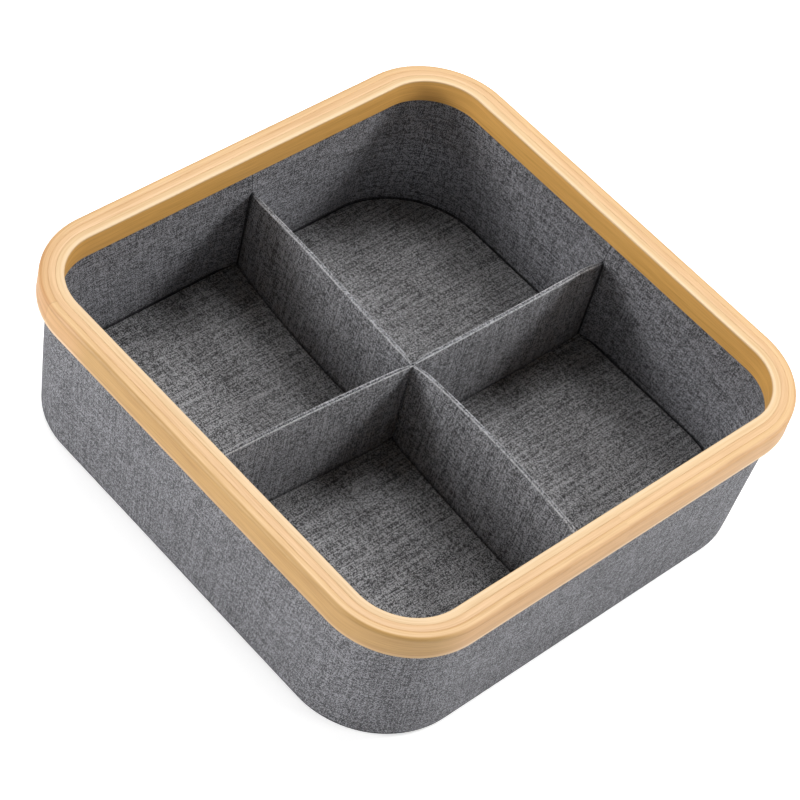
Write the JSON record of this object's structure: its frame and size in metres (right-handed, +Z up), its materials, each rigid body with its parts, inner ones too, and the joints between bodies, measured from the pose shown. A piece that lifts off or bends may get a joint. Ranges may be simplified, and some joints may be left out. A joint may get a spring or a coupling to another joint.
{
  "type": "drawer organizer",
  "caption": "Square cloth-covered drawer organizer with rounded corners, a flat bamboo rim and padded dividers sewn into a cross, open at the top.",
  "frame": {"origin": "middle of the underside, on the surface that the box stands on", "axes": "+Z up, out of the open top; X and Y along the sides; front is -Y and back is +Y, left is -X and right is +X"},
  "size_m": [0.32, 0.32, 0.1],
  "materials": {
    "bamboo": "pale bamboo strip with fine lengthwise grain, smoothed and clear-finished",
    "outer_cloth": "grey linen-look woven cloth, mottled with slubs",
    "lining_cloth": "darker charcoal woven cloth, mottled with slubs",
    "board": "stiff brown pasteboard, hidden under the cloth"
  },
  "bodies": {
    "root": {"rim_inner_hoop": "bamboo", "rim_outer_hoop": "bamboo", "outer_cover": "outer_cloth", "bottom_cloth": "outer_cloth", "wall_board_back_right": "board", "wall_board_back_left": "board", "wall_board_front_left": "board", "wall_board_front_right": "board", "base_board": "board", "lining_back_right": "lining_cloth", "lining_back_left": "lining_cloth", "lining_front_left": "lining_cloth", "lining_front_right": "lining_cloth", "floor_cloth": "lining_cloth", "divider_sleeve_right": "lining_cloth", "divider_sleeve_back": "lining_cloth", "divider_sleeve_left": "lining_cloth", "divider_sleeve_front": "lining_cloth", "divider_board_right": "board", "divider_board_back": "board", "divider_board_left": "board", "divider_board_front": "board"}
  },
  "joints": []
}
